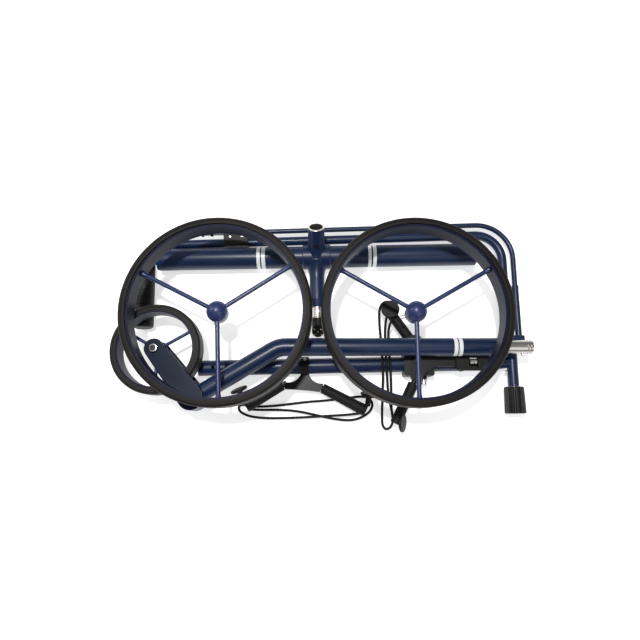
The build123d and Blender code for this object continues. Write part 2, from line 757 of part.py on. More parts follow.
with BuildPart() as axle_tee:
    with BuildSketch(Plane(origin=axle_point(-tee_half_length, 0), z_dir=axle_plane.x_dir)):
        Circle(tee_r)
    extrude(amount=2 * tee_half_length)
    chamfer(axle_tee.edges().filter_by(GeomType.CIRCLE), 1.5)
    for limb_plane, foot_r, limb_r, flare, reach in (
        (leg_plane, tee_r - 1, leg_r, 46.0, leg_reach),
        (socket_plane, tee_r - 2, socket_r, 40.0, socket_reach),
    ):
        side_plane = Plane(origin=limb_plane.origin, x_dir=limb_plane.x_dir, z_dir=limb_plane.y_dir * -1)
        with BuildSketch(side_plane):
            with BuildLine():
                tip_r = leg_tip_r if limb_r == leg_r else socket_r
                taper = 14.0 if limb_r == leg_r else 1.0
                Polyline((0, 0), (foot_r, 0), (foot_r, 12.0))
                TangentArc((foot_r, 12.0), (limb_r, flare), tangent=(-0.55, 1))
                Polyline((limb_r, flare), (limb_r, reach - taper), (tip_r, reach), (0, reach), (0, 0))
            make_face()
        revolve(axis=Axis(limb_plane.origin, limb_plane.z_dir))
    with BuildSketch(button_plane):
        Circle(socket_boss_r)
    extrude(amount=socket_boss_top, taper=4)
    with BuildSketch(Plane(origin=axle_point(-2 * tee_half_length, 0), z_dir=axle_plane.x_dir)):
        Circle(axle_r)
    extrude(amount=4 * tee_half_length, mode=Mode.SUBTRACT)
    with BuildSketch(socket_floor):
        Circle(socket_r - socket_wall)
    extrude(amount=2 * socket_depth, mode=Mode.SUBTRACT)
    with BuildSketch(button_plane.offset(socket_button_seat)):
        Circle(socket_button_r + running_fit)
    extrude(amount=2 * socket_r, mode=Mode.SUBTRACT)
save(axle_tee, "axle_tee")

liner_lip = 2.0
with BuildPart(socket_floor) as socket_liner:
    Cylinder(socket_r - socket_wall, socket_depth, align=FROM_BASE)
    with Locations((0, 0, socket_depth)):
        Cylinder(socket_r, liner_lip, align=FROM_BASE)
    liner_rims = socket_liner.edges().filter_by(GeomType.CIRCLE)
    chamfer(liner_rims.filter_by(lambda edge: edge.radius > socket_r - 0.1), 0.6)
    Cylinder(
        spigot_r + running_fit,
        2 * socket_depth,
        align=FROM_BASE,
        mode=Mode.SUBTRACT,
    )
save(socket_liner, "socket_liner")

with BuildPart(leg_plane.offset(leg_reach)) as leg_neck:
    Cylinder(neck_r, neck_reach - leg_reach, align=FROM_BASE)
    with Locations((0, 0, 1.2)):
        Cylinder(neck_r + 1.0, 2.4)
    with Locations((0, 0, neck_reach - leg_reach - 2.5)):
        Cylinder(neck_r + 1.2, 1.6)
    with BuildSketch(Plane(origin=axle_point(0, -leg_reach - 9.0, neck_r - 2.0), z_dir=(0, 0, 1))):
        Circle(2.6)
    extrude(amount=3.2)
save(leg_neck, "leg_neck")

plug_face_run = 2 * plug_r * tan(radians(plug_face_angle))
plug_face_origin = axle_point(0, -plug_reach, -plug_r)
plug_face_normal = (
    axle_plane.y_dir * -cos(radians(plug_face_angle)) + axle_plane.z_dir * sin(radians(plug_face_angle))
)
plug_face = Plane(origin=plug_face_origin, x_dir=axle_plane.x_dir, z_dir=plug_face_normal)
with BuildPart(leg_plane.offset(neck_reach)) as plug_body:
    Cylinder(plug_r, plug_reach - neck_reach, align=FROM_BASE)
    split(bisect_by=plug_face, keep=Keep.BOTTOM)
save(plug_body, "plug_body")

contact_pin_r = 1.3
face_middle = axle_point(0, -plug_reach + plug_face_run / 2, 0)
with BuildPart(Plane(origin=face_middle, x_dir=axle_plane.x_dir, z_dir=plug_face_normal)) as contact_pins:
    with GridLocations(2 * contact_spacing, 2 * contact_spacing, 2, 2):
        Cylinder(contact_pin_r, 2.6, align=FROM_BASE)
    Cylinder(contact_pin_r, 2.6, align=FROM_BASE)
    fillet(contact_pins.faces().sort_by(Axis(face_middle, plug_face_normal))[-5:].edges(), 0.8)
save(contact_pins, "contact_pins")

motor_inset = 26.0
with BuildPart() as gear_motors:
    for side in (-1, 1):
        motor_face = axle_point(side * (half_axle - motor_inset), 0)
        with BuildSketch(Plane(origin=motor_face, z_dir=axle_plane.x_dir * -side)):
            Circle(motor_r)
        extrude(amount=motor_length)
        clamp_face = axle_point(side * (half_axle - motor_inset - 38), 0)
        with BuildSketch(Plane(origin=clamp_face, z_dir=axle_plane.x_dir * -side)):
            Circle(axle_r - axle_wall)
        extrude(amount=8.0)
save(gear_motors, "gear_motors")

bearing_length = 18.0
flange_length = 1.5
with BuildPart() as axle_bearings:
    for side in (-1, 1):
        bearing_face = axle_point(side * (half_axle - bearing_length), 0)
        with BuildSketch(Plane(origin=bearing_face, z_dir=axle_plane.x_dir * side)):
            Circle(axle_r - axle_wall)
            Circle(stub_r + running_fit, mode=Mode.SUBTRACT)
        extrude(amount=bearing_length)
        with BuildSketch(Plane(origin=axle_point(side * half_axle, 0), z_dir=axle_plane.x_dir * side)):
            Circle(axle_r - 0.4)
            Circle(stub_r + running_fit, mode=Mode.SUBTRACT)
        extrude(amount=flange_length)
save(axle_bearings, "axle_bearings")

collar_thickness = 3.0
dog_r = 1.5
dog_reach = 2.4


def drive_shaft(side):
    """One drive stub: shaft, collar and its dogs; side is -1 on the left and 1 on the right."""
    outward = axle_plane.x_dir * side
    inner = axle_point(side * (half_axle - bearing_length - 4.0), 0)
    collar = axle_point(side * (half_axle + flange_length + gap), 0)
    with BuildPart() as shaft:
        with BuildSketch(Plane(origin=inner, z_dir=outward)):
            Circle(stub_r)
        extrude(amount=bearing_length + 4.0 + stub_reach)
        with BuildSketch(Plane(origin=collar, z_dir=outward)):
            Circle(dog_collar_r)
        extrude(amount=collar_thickness)
        with BuildSketch(Plane(origin=collar + outward * collar_thickness, z_dir=outward)):
            with PolarLocations(dog_collar_r - 2.8, 3):
                Circle(dog_r)
        extrude(amount=dog_reach)
    return shaft


left_drive_shaft = drive_shaft(-1)
save(left_drive_shaft, "left_drive_shaft")
right_drive_shaft = drive_shaft(1)
save(right_drive_shaft, "right_drive_shaft")

with BuildPart(button_plane) as socket_button:
    with Locations((0, 0, socket_button_seat + socket_button_travel + gap)):
        Cylinder(socket_button_r, socket_button_length, align=FROM_BASE)
        fillet(socket_button.edges().filter_by(GeomType.CIRCLE), 0.9)
save(socket_button, "socket_button")

# ---------------------------------------------------------------- front arm and fork
blade_bottom_z = arm_z - front_width / 2 - blade_clearance - blade_thickness
blade_top_z = arm_z + front_width / 2 + blade_clearance
knuckle_bottom_z = blade_bottom_z
knuckle_height = blade_top_z + blade_thickness - blade_bottom_z
wheel_clear_r = front_r + 2.5

with BuildPart() as fork_knuckle:
    with BuildSketch(Plane.XY.offset(knuckle_bottom_z + blade_thickness)):
        with Locations((knuckle_x, knuckle_y)):
            Circle(knuckle_r)
        with Locations((front_x, front_y)):
            Circle(wheel_clear_r, mode=Mode.SUBTRACT)
    extrude(amount=knuckle_height - 2 * blade_thickness)
save(fork_knuckle, "fork_knuckle")

blade_levels = (("fork_lower_blade", blade_bottom_z), ("fork_upper_blade", blade_top_z))
fork_direction = degrees(atan2(knuckle_y - front_y, knuckle_x - front_x))
fork_reach = hypot(knuckle_x - front_x, knuckle_y - front_y)


def fork_blade(level):
    """A fork blade: a tapering plate from the wheel's bolt to the knuckle."""
    lean = degrees(atan2(knuckle_r - blade_hub_r, fork_reach))
    with BuildPart() as blade:
        with BuildSketch(turned((front_x, front_y, level), fork_direction)):
            with BuildLine():
                top_hub = (-blade_hub_r * sin(radians(lean)), blade_hub_r * cos(radians(lean)))
                top_end = (fork_reach - knuckle_r * sin(radians(lean)), knuckle_r * cos(radians(lean)))
                low_hub = (top_hub[0], -top_hub[1])
                low_end = (top_end[0], -top_end[1])
                Line(top_hub, top_end)
                ThreePointArc(top_end, (fork_reach + knuckle_r, 0), low_end)
                Line(low_end, low_hub)
                ThreePointArc(low_hub, (-blade_hub_r, 0), top_hub)
            make_face()
            Circle(front_axle_r, mode=Mode.SUBTRACT)
        extrude(amount=blade_thickness)
        outer_face = blade.faces().sort_by(Axis.Z)[-1 if level > arm_z else 0]
        outline = outer_face.edges().filter_by(lambda edge: edge.length > 4 * pi * front_axle_r)
        fillet(outline, 1.6)
    return blade


fork_lower_blade = fork_blade(blade_bottom_z)
save(fork_lower_blade, "fork_lower_blade")
fork_upper_blade = fork_blade(blade_top_z)
save(fork_upper_blade, "fork_upper_blade")

with BuildPart() as arm_tube:
    with BuildLine() as arm_path:
        FilletPolyline(
            (arm_end_x, arm_y, arm_z),
            (arm_bend_x, arm_y, arm_z),
            (knuckle_x, knuckle_y, arm_z),
            radius=arm_bend_r,
        )
    with BuildSketch(Plane(origin=arm_path.line @ 0, z_dir=arm_path.line % 0)):
        Circle(arm_r)
        Circle(arm_r - arm_wall, mode=Mode.SUBTRACT)
    sweep()
    with BuildSketch(Plane.XY):
        with Locations((knuckle_x, knuckle_y)):
            Circle(knuckle_r)
    extrude(amount=2 * arm_z, mode=Mode.SUBTRACT)
save(arm_tube, "arm_tube")

spigot_length = spigot_end_x - arm_end_x
groove_r = spigot_r - 0.9
with BuildPart(Plane(origin=(arm_end_x - spigot_seat, arm_y, arm_z), z_dir=(1, 0, 0))) as arm_spigot:
    Cylinder(arm_r - arm_wall, spigot_seat, align=FROM_BASE)
    Cylinder(spigot_r, spigot_seat + spigot_length, align=FROM_BASE)
    chamfer(arm_spigot.edges().group_by(Axis.X)[-1], 1.0)
    for step in (5.0, 10.0):
        with Locations((0, 0, spigot_seat + spigot_length - step)):
            Torus(spigot_r + 0.3, 1.1, mode=Mode.SUBTRACT)
    Cylinder(
        spigot_r - spigot_wall,
        spigot_seat + spigot_length,
        align=FROM_BASE,
        mode=Mode.SUBTRACT,
    )
    with BuildSketch(Plane(origin=(spigot_button_x, arm_y, arm_z), z_dir=(0, -1, 0))):
        Circle(button_r + running_fit)
    extrude(amount=2 * spigot_r, mode=Mode.SUBTRACT)
save(arm_spigot, "arm_spigot")

button_stand = 3.6
button_depth = 6.0
button_foot = (spigot_button_x, arm_y - spigot_r + button_depth, arm_z)
with BuildPart(Plane(origin=button_foot, z_dir=(0, -1, 0))) as spigot_button:
    Cylinder(button_r, button_depth + button_stand, align=FROM_BASE)
    fillet(spigot_button.edges().group_by(Axis.Y)[0], 1.6)
save(spigot_button, "spigot_button")

bolt_head_r = 8.0
bolt_head_height = 3.4
nut_flat_r = 6.5
with BuildPart() as front_axle_bolt:
    with BuildSketch(Plane.XY.offset(blade_bottom_z - 4.0)):
        with Locations((front_x, front_y)):
            Circle(front_axle_r)
    extrude(amount=knuckle_height + 4.0)
    with BuildSketch(Plane.XY.offset(blade_top_z + blade_thickness)):
        with Locations((front_x, front_y)):
            Circle(bolt_head_r)
    extrude(amount=bolt_head_height)
    chamfer(front_axle_bolt.edges().group_by(Axis.Z)[-1], 0.9)
    with BuildSketch(Plane.XY.offset(blade_top_z + blade_thickness + bolt_head_height - 1.8)):
        with Locations((front_x, front_y)):
            RegularPolygon(3.2, 6)
    extrude(amount=5.0, mode=Mode.SUBTRACT)
    with BuildSketch(Plane.XY.offset(blade_bottom_z - 4.0)):
        with Locations((front_x, front_y)):
            RegularPolygon(nut_flat_r, 6)
    extrude(amount=4.0)
save(front_axle_bolt, "front_axle_bolt")


# ---------------------------------------------------------------- wheels
def tyre_ring(centre, level, outer, inner, width, rounding):
    """A tyre about an upright axis, with a groove round each side wall."""
    with BuildPart() as band:
        with BuildSketch(Plane.XY.offset(level - width / 2)):
            with Locations(centre):
                Circle(outer)
                Circle(inner, mode=Mode.SUBTRACT)
        extrude(amount=width)
        rims = band.edges().filter_by(GeomType.CIRCLE)
        fillet(rims.filter_by(lambda edge: edge.radius > outer - 0.01), rounding)
        for face_level in (level - width / 2, level + width / 2 - side_groove_depth):
            with BuildSketch(Plane.XY.offset(face_level)):
                with Locations(centre):
                    Circle(outer - side_groove_inset)
                    Circle(outer - side_groove_inset - side_groove_width, mode=Mode.SUBTRACT)
            extrude(amount=side_groove_depth, mode=Mode.SUBTRACT)
    return band


def spoke_set(centre, level, inner, outer, radius, boss_radius, boss_length, first_angle):
    """Round spokes from the hub to the rim, each with a boss at the rim."""
    with BuildPart() as spokes:
        for turn in range(spoke_count):
            angle = radians(first_angle + 360 / spoke_count * turn)
            outward = Vector(cos(angle), sin(angle), 0)
            middle = Vector(centre[0], centre[1], level)
            with BuildSketch(Plane(origin=middle + outward * inner, z_dir=outward)):
                Circle(radius)
            extrude(amount=outer - inner)
            if boss_length:
                with BuildSketch(Plane(origin=middle + outward * (outer - boss_length), z_dir=outward)):
                    Circle(radius)
                with BuildSketch(Plane(origin=middle + outward * (outer + 0.5), z_dir=outward)):
                    Circle(boss_radius)
                loft()
        with BuildSketch(Plane.XY):
            with Locations(centre):
                Circle(outer + 10.0)
                Circle(outer, mode=Mode.SUBTRACT)
        extrude(amount=2 * level, mode=Mode.SUBTRACT)
    return spokes


front_rim_r = front_r - front_tyre_depth
front_tyre = tyre_ring((front_x, front_y), arm_z, front_r, front_rim_r, front_width, tyre_rounding)
save(front_tyre, "front_tyre")
with BuildPart() as front_rim:
    with BuildSketch(Plane.XY.offset(arm_z - front_width / 2 + 1.5)):
        with Locations((front_x, front_y)):
            Circle(front_rim_r)
            Circle(front_rim_r - front_rim_wall, mode=Mode.SUBTRACT)
    extrude(amount=front_width - 3.0)
save(front_rim, "front_rim")
with BuildPart() as front_spokes:
    with BuildSketch(Plane.XY.offset(arm_z - front_width / 2)):
        with Locations((front_x, front_y)):
            Circle(front_hub_r)
    extrude(amount=front_width)
    for turn in range(spoke_count):
        angle = radians(front_spoke_angle + 360 / spoke_count * turn)
        outward = Vector(cos(angle), sin(angle), 0)
        with BuildSketch(Plane(origin=(front_x, front_y, arm_z), z_dir=outward)):
            Circle(front_spoke_r)
        extrude(amount=front_rim_r - front_rim_wall)
    with BuildSketch(Plane.XY):
        with Locations((front_x, front_y)):
            Circle(front_axle_r + running_fit)
    extrude(amount=2 * arm_z, mode=Mode.SUBTRACT)
    with BuildSketch(Plane.XY):
        with Locations((front_x, front_y)):
            Circle(front_rim_r + 10)
            Circle(front_rim_r - front_rim_wall, mode=Mode.SUBTRACT)
    extrude(amount=2 * arm_z, mode=Mode.SUBTRACT)
save(front_spokes, "front_spokes")

rim_r = wheel_r - tyre_depth
rim_inner_r = rim_r - rim_wall
core_drop = 22.0
catch_height = 7.0
catch_width = 13.0
drive_bore_r = stub_r + running_fit
drive_bore_depth = 17.0

for side, centre_x, spoke_angle, prong_angle in (
    ("left", left_wheel_x, left_spoke_angle, left_prong_angle),
    ("right", right_wheel_x, right_spoke_angle, right_prong_angle),
):
    centre = (centre_x, wheels_y)
    tyre = tyre_ring(centre, wheel_z, wheel_r, rim_r, wheel_width, tyre_rounding)
    save(tyre, f"{side}_tyre")

    with BuildPart() as rim:
        with BuildSketch(Plane(origin=(centre_x, wheels_y, wheel_z), x_dir=(1, 0, 0), z_dir=(0, -1, 0))):
            with BuildLine():
                half_rim = wheel_width / 2 - rim_inset
                Polyline(
                    (rim_inner_r, -half_rim),
                    (rim_r, -half_rim),
                    (rim_r, half_rim),
                    (rim_inner_r - rim_lip, half_rim),
                    (rim_inner_r - rim_lip, half_rim - 2.0),
                    (rim_inner_r, half_rim - 4.0),
                    (rim_inner_r, -half_rim),
                )
            make_face()
        revolve(axis=Axis((centre_x, wheels_y, 0), (0, 0, 1)))
    save(rim, f"{side}_rim")

    spokes = spoke_set(
        centre,
        wheel_z,
        hub_ball_r - 3.0,
        rim_inner_r,
        spoke_r,
        spoke_boss_r,
        spoke_boss_length,
        spoke_angle,
    )
    save(spokes, f"{side}_spokes")

    skirt_bottom = wheel_z - hub_skirt_drop
    with BuildPart() as hub:
        with Locations((centre_x, wheels_y, wheel_z)):
            Sphere(hub_ball_r)
        with BuildSketch(Plane.XY.offset(skirt_bottom)):
            with Locations(centre):
                Circle(hub_skirt_r)
        extrude(amount=hub_skirt_drop - 3.0)
        with BuildSketch(Plane.XY.offset(skirt_bottom - 2 * hub_ball_r)):
            with Locations(centre):
                Circle(2 * hub_ball_r)
        extrude(amount=2 * hub_ball_r, mode=Mode.SUBTRACT)
        with BuildSketch(Plane.XY.offset(skirt_bottom)):
            with Locations(centre):
                Circle(core_r + running_fit)
        extrude(amount=hub_skirt_drop - 2.0, mode=Mode.SUBTRACT)
        for turn in range(spoke_count):
            angle = radians(spoke_angle + 360 / spoke_count * turn)
            outward = Vector(cos(angle), sin(angle), 0)
            seat = Vector(centre_x, wheels_y, wheel_z) + outward * (hub_ball_r - 3.0)
            with BuildSketch(Plane(origin=seat, z_dir=outward)):
                Circle(spoke_r)
            extrude(amount=2 * hub_ball_r, mode=Mode.SUBTRACT)
    save(hub, f"{side}_hub")

    core_bottom = wheel_z - core_drop
    catch_level = core_bottom + 2.0
    catch_plane = turned((centre_x, wheels_y, catch_level), prong_angle)
    with BuildPart() as hub_core:
        with BuildSketch(Plane.XY.offset(core_bottom)):
            with Locations(centre):
                Circle(core_r)
        extrude(amount=core_drop - 2.6)
        with BuildSketch(Plane.XY.offset(core_bottom)):
            with Locations(centre):
                Circle(core_flange_r)
        extrude(amount=skirt_bottom - gap - core_bottom)
        with BuildSketch(Plane.XY.offset(core_bottom)):
            with Locations(centre):
                Circle(drive_bore_r)
        extrude(amount=drive_bore_depth, mode=Mode.SUBTRACT)
        with BuildSketch(catch_plane):
            with Locations((core_flange_r - 2.0, 0)):
                Rectangle(8.0, catch_width + 2 * running_fit)
        extrude(amount=3.2, mode=Mode.SUBTRACT)
    save(hub_core, f"{side}_hub_core")

    with BuildPart() as release:
        with BuildSketch(catch_plane.offset(0.1)):
            with Locations((core_flange_r - 3.4 + release_travel / 2 + 0.8, 0)):
                Rectangle(4.0 - release_travel / 2, catch_width)
        extrude(amount=2.8)
        for shift in (-prong_spacing / 2, prong_spacing / 2):
            prong_origin = catch_plane.offset(1.5).from_local_coords(Vector(core_flange_r - 2.0, shift, 0))
            with BuildSketch(Plane(origin=prong_origin, z_dir=catch_plane.x_dir)):
                Circle(prong_r)
            extrude(amount=prong_reach + 2.0)
    save(release, f"{side}_release")

# ---------------------------------------------------------------- rubber cords
lower_cord_route = [
    (-127.0, -156.0, 9.5),
    (-112.0, -157.0, 7.0),
    (-85.0, -156.5, 6.5),
    (-50.0, -158.0, 7.0),
    (-15.0, -165.0, 7.0),
    (18.0, -172.5, 7.0),
    (46.0, -175.8, 7.0),
    (64.0, -173.0, 8.0),
    (77.0, -166.8, 9.5),
    (87.5, -158.0, 12.0),
    (91.0, -146.0, 15.0),
    (85.0, -136.0, 13.0),
    (73.0, -132.5, 8.0),
    (50.0, -134.5, 5.3),
    (14.0, -139.5, 5.2),
    (-30.0, -142.5, 5.2),
    (-75.0, -148.5, 5.2),
    (-108.0, -151.0, 5.2),
    (-128.0, -150.5, 5.2),
    (-141.5, -147.0, 7.5),
    (-149.5, -149.0, 11.0),
    (-150.5, -156.0, 13.5),
    (-144.0, -162.5, 13.0),
    (-130.0, -168.5, 11.0),
    (-106.0, -171.5, 9.5),
    (-68.0, -171.5, 9.5),
    (-20.0, -169.5, 12.5),
    (20.0, -167.0, 12.5),
    (48.0, -165.5, 12.5),
    (68.0, -163.0, 13.0),
]
upper_cord_route = [
    (118.0, 12.0, 31.0),
    (113.5, -8.0, 32.0),
    (113.2, -44.0, 36.8),
    (114.8, -86.0, 36.6),
    (117.0, -128.0, 25.0),
    (124.0, -158.0, 16.5),
    (127.0, -174.0, 13.5),
    (123.0, -187.0, 13.0),
    (113.5, -192.0, 13.0),
    (107.0, -184.0, 13.0),
    (106.8, -168.0, 14.5),
    (107.6, -136.0, 20.5),
    (108.6, -90.0, 35.3),
    (106.0, -42.0, 36.8),
    (102.6, 2.0, 37.5),
    (104.0, 26.0, 40.5),
    (112.0, 35.5, 42.0),
    (124.0, 35.5, 42.8),
    (133.5, 27.0, 42.8),
    (134.0, 14.0, 42.8),
    (126.0, 3.5, 42.6),
    (118.5, -14.0, 40.5),
    (119.0, -46.0, 36.8),
    (121.5, -86.0, 36.8),
    (122.6, -128.0, 28.5),
    (122.6, -156.0, 23.5),
    (125.0, -173.0, 22.5),
]


def rubber_cord(route):
    """A cord of the cradle's section along its route, straight runs joined by arcs."""
    with BuildPart() as cord:
        with BuildLine() as path:
            FilletPolyline(*route, radius=cord_radii(route))
        with BuildSketch(Plane(origin=path.line @ 0, z_dir=path.line % 0)):
            Circle(cord_r)
        sweep()
    length = sum(edge.length for edge in path.edges())
    print("cord of", len(route), "points, mm long:", round(length, 1))
    print("  section times length", round(pi * cord_r**2 * length), "volume", round(cord.part.volume))
    print("  radii", [round(value, 1) for value in cord_radii(route)])
    return cord


lower_bungee = rubber_cord(lower_cord_route)
save(lower_bungee, "lower_bungee")
upper_bungee = rubber_cord(upper_cord_route)
save(upper_bungee, "upper_bungee")
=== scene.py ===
"""Looks for the folded golf trolley: paints, rubber, steel, cords, small fittings, light and camera."""
from math import cos, radians, sin

import bmesh
import bpy
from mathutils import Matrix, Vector


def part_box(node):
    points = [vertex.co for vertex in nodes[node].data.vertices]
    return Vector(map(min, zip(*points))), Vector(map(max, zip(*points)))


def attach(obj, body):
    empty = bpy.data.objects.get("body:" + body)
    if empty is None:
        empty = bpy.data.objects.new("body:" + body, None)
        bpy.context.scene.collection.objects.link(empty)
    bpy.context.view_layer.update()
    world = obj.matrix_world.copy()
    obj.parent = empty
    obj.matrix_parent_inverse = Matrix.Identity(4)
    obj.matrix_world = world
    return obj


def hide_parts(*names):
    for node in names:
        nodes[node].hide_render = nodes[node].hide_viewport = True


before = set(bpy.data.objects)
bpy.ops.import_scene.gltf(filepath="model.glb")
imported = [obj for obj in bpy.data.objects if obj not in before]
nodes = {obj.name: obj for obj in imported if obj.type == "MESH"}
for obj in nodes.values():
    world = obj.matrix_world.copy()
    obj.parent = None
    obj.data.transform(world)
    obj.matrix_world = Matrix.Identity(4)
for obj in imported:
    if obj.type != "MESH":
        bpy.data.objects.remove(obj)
scene = bpy.context.scene
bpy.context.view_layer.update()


# ---------------------------------------------------------------- camera and light
CAMERA_PLACE = (-0.004, -0.1885, 0.9776)
CAMERA_TILT = radians(11.5)
CAMERA_LENS = 29.81
SENSOR_WIDTH = 36.0
WORLD_STRENGTH = 0.24
WHITE = (1.0, 1.0, 1.0, 1.0)

camera_data = bpy.data.cameras.new("camera")
camera_data.lens = CAMERA_LENS
camera_data.sensor_width = SENSOR_WIDTH
camera = bpy.data.objects.new("camera", camera_data)
camera.location = CAMERA_PLACE
camera.rotation_euler = (CAMERA_TILT, 0.0, 0.0)
scene.collection.objects.link(camera)
scene.camera = camera

scene.view_settings.view_transform = "Standard"

world = bpy.data.worlds.new("studio")
scene.world = world
world.use_nodes = True
backdrop = world.node_tree.nodes["Background"]
backdrop.inputs["Color"].default_value = WHITE
backdrop.inputs["Strength"].default_value = WORLD_STRENGTH


def soft_light(name, place, aim, size, power):
    """A square studio panel at place, facing aim; size in metres, power in watts."""
    data = bpy.data.lights.new(name, "AREA")
    data.shape = "SQUARE"
    data.size = size
    data.energy = power
    lamp = bpy.data.objects.new(name, data)
    lamp.location = place
    lamp.rotation_euler = (Vector(aim) - Vector(place)).to_track_quat("-Z", "Y").to_euler()
    scene.collection.objects.link(lamp)


# the small steep key panel makes the crisp shadows; the two wide ones only lift the dark sides
soft_light("key_panel", (-0.25, 0.35, 2.4), aim=(0.0, 0.0, 0.0), size=0.16, power=40.0)
soft_light("side_panel", (-1.3, 0.5, 0.9), aim=(0.0, 0.0, 0.05), size=0.8, power=5.0)
soft_light("fill_panel", (0.8, -1.0, 1.3), aim=(0.0, 0.0, 0.0), size=1.1, power=5.0)


def deselect():
    bpy.ops.object.select_all(action="DESELECT")


# ---------------------------------------------------------------- node groups
def new_group(name, inputs, outputs):
    """A shader node group; inputs are (name, socket type, default), outputs are (name, type)."""
    group = bpy.data.node_groups.new(name, "ShaderNodeTree")
    for label, kind, value in inputs:
        socket = group.interface.new_socket(name=label, in_out="INPUT", socket_type=kind)
        if value is not None:
            socket.default_value = value
    for label, kind in outputs:
        group.interface.new_socket(name=label, in_out="OUTPUT", socket_type=kind)
    entry = group.nodes.new("NodeGroupInput")
    leave = group.nodes.new("NodeGroupOutput")
    return group, entry, leave


def math_node(tree, operation, first, second):
    """The output of a math node; each of the two inputs is a socket or a number."""
    node = tree.nodes.new("ShaderNodeMath")
    node.operation = operation
    for socket, value in zip(node.inputs, (first, second)):
        if isinstance(value, (int, float)):
            socket.default_value = value
        else:
            tree.links.new(value, socket)
    return node.outputs[0]


FINE_DETAIL = 4.0
CLOUD_SCALE = 22.0
CLOUD_DETAIL = 2.0

grain, enter, leave = new_group(
    "fine_grain",
    [("Vector", "NodeSocketVector", None), ("Scale", "NodeSocketFloat", 900.0)],
    [("Height", "NodeSocketFloat"), ("Mottle", "NodeSocketFloat")],
)
speckle = grain.nodes.new("ShaderNodeTexNoise")
speckle.inputs["Detail"].default_value = FINE_DETAIL
grain.links.new(enter.outputs["Vector"], speckle.inputs["Vector"])
grain.links.new(enter.outputs["Scale"], speckle.inputs["Scale"])
cloud = grain.nodes.new("ShaderNodeTexNoise")
cloud.inputs["Scale"].default_value = CLOUD_SCALE
cloud.inputs["Detail"].default_value = CLOUD_DETAIL
grain.links.new(enter.outputs["Vector"], cloud.inputs["Vector"])
grain.links.new(speckle.outputs["Fac"], leave.inputs["Height"])
grain.links.new(cloud.outputs["Fac"], leave.inputs["Mottle"])

band, enter, leave = new_group(
    "painted_band",
    [
        ("Along", "NodeSocketFloat", 0.0),
        ("Start", "NodeSocketFloat", 0.0),
        ("End", "NodeSocketFloat", 0.01),
    ],
    [("Mask", "NodeSocketFloat")],
)
above = math_node(band, "GREATER_THAN", enter.outputs["Along"], enter.outputs["Start"])
below = math_node(band, "LESS_THAN", enter.outputs["Along"], enter.outputs["End"])
band.links.new(math_node(band, "MULTIPLY", above, below), leave.inputs["Mask"])


# ---------------------------------------------------------------- materials
MOTTLE_START, MOTTLE_END = 0.35, 0.65
ROUGHNESS_SPREAD = 0.12


class Finish:
    """A material whose colour and roughness follow a soft mottle, with fine grain in its bump.

    dark and light are the ends of the mottle. scale is the grain's, bump its strength and distance
    its height in metres; gloss is the specular level.
    """

    def __init__(
        self, name, dark, light, roughness,
        scale=900.0, bump=0.05, distance=0.0002, metallic=0.0, gloss=0.5,
    ):
        self.material = bpy.data.materials.new(name)
        self.material.use_nodes = True
        self.tree = self.material.node_tree
        self.shader = self.tree.nodes["Principled BSDF"]
        self.place = self.tree.nodes.new("ShaderNodeTexCoord")
        self.grain = self.tree.nodes.new("ShaderNodeGroup")
        self.grain.node_tree = grain
        self.grain.inputs["Scale"].default_value = scale
        self.link(self.place.outputs["Object"], self.grain.inputs["Vector"])
        ramp = self.tree.nodes.new("ShaderNodeValToRGB")
        ends = ((MOTTLE_START, dark), (MOTTLE_END, light))
        for element, (position, colour) in zip(ramp.color_ramp.elements, ends):
            element.position = position
            element.color = (*colour, 1.0)
        self.link(self.grain.outputs["Mottle"], ramp.inputs["Fac"])
        self.colour = ramp.outputs["Color"]
        self.link(self.colour, self.shader.inputs["Base Color"])
        rough = math_node(self.tree, "MULTIPLY", self.grain.outputs["Mottle"], ROUGHNESS_SPREAD)
        rough = math_node(self.tree, "ADD", rough, roughness - ROUGHNESS_SPREAD / 2)
        self.link(rough, self.shader.inputs["Roughness"])
        self.shader.inputs["Metallic"].default_value = metallic
        self.shader.inputs["Specular IOR Level"].default_value = gloss
        relief = self.tree.nodes.new("ShaderNodeBump")
        relief.inputs["Strength"].default_value = bump
        relief.inputs["Distance"].default_value = distance
        self.link(self.grain.outputs["Height"], relief.inputs["Height"])
        self.link(relief.outputs["Normal"], self.shader.inputs["Normal"])

    def link(self, start, end):
        self.tree.links.new(start, end)

    def coat(self, weight, roughness):
        """A clear coat over the paint."""
        self.shader.inputs["Coat Weight"].default_value = weight
        self.shader.inputs["Coat Roughness"].default_value = roughness

    def add_bands(self, turn, bands, colour, bare=False):
        """Bands of a colour across a tube that lies flat, its length turned this far from +X.

        Each band is (start, end), metres along the tube. Where bare, the band is unpainted metal.
        """
        mapping = self.tree.nodes.new("ShaderNodeMapping")
        mapping.inputs["Rotation"].default_value = (0.0, 0.0, -turn)
        self.link(self.place.outputs["Object"], mapping.inputs["Vector"])
        split = self.tree.nodes.new("ShaderNodeSeparateXYZ")
        self.link(mapping.outputs["Vector"], split.inputs["Vector"])
        total = None
        for start, end in bands:
            stripe = self.tree.nodes.new("ShaderNodeGroup")
            stripe.node_tree = band
            stripe.inputs["Start"].default_value = start
            stripe.inputs["End"].default_value = end
            self.link(split.outputs["X"], stripe.inputs["Along"])
            mask = stripe.outputs["Mask"]
            total = mask if total is None else math_node(self.tree, "MAXIMUM", total, mask)
        mix = self.tree.nodes.new("ShaderNodeMix")
        mix.data_type = "RGBA"
        self.link(total, mix.inputs["Factor"])
        self.link(self.colour, mix.inputs["A"])
        mix.inputs["B"].default_value = (*colour, 1.0)
        self.link(mix.outputs["Result"], self.shader.inputs["Base Color"])
        if bare:
            self.link(total, self.shader.inputs["Metallic"])


